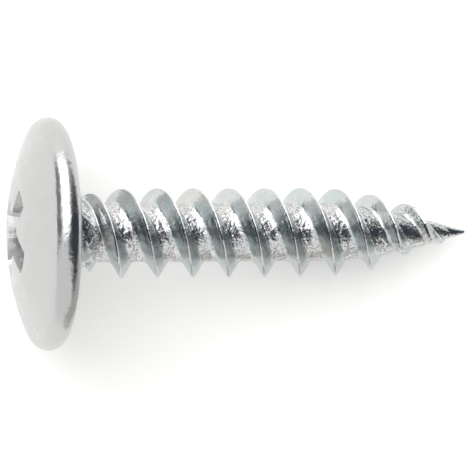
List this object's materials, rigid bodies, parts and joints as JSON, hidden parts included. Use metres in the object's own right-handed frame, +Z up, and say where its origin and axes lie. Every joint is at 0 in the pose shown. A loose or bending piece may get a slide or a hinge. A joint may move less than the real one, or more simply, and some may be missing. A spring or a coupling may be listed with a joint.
{
  "type": "drywall screw",
  "caption": "Zinc-plated drywall screw with a wide low-domed wafer head, cross recess, coarse twin-start thread and sharp rolled point.",
  "frame": {"origin": "centre of the bounding box in plan, at the level that the screw lies on", "axes": "+X towards the point, with the axis dipping from the head to the point; +Z up; +Y across"},
  "size_m": [0.0212, 0.0107, 0.0104],
  "materials": {
    "zinc_plate": "bright zinc plate over hardened steel"
  },
  "bodies": {
    "root": {"drywall_screw": "zinc_plate"}
  },
  "joints": []
}
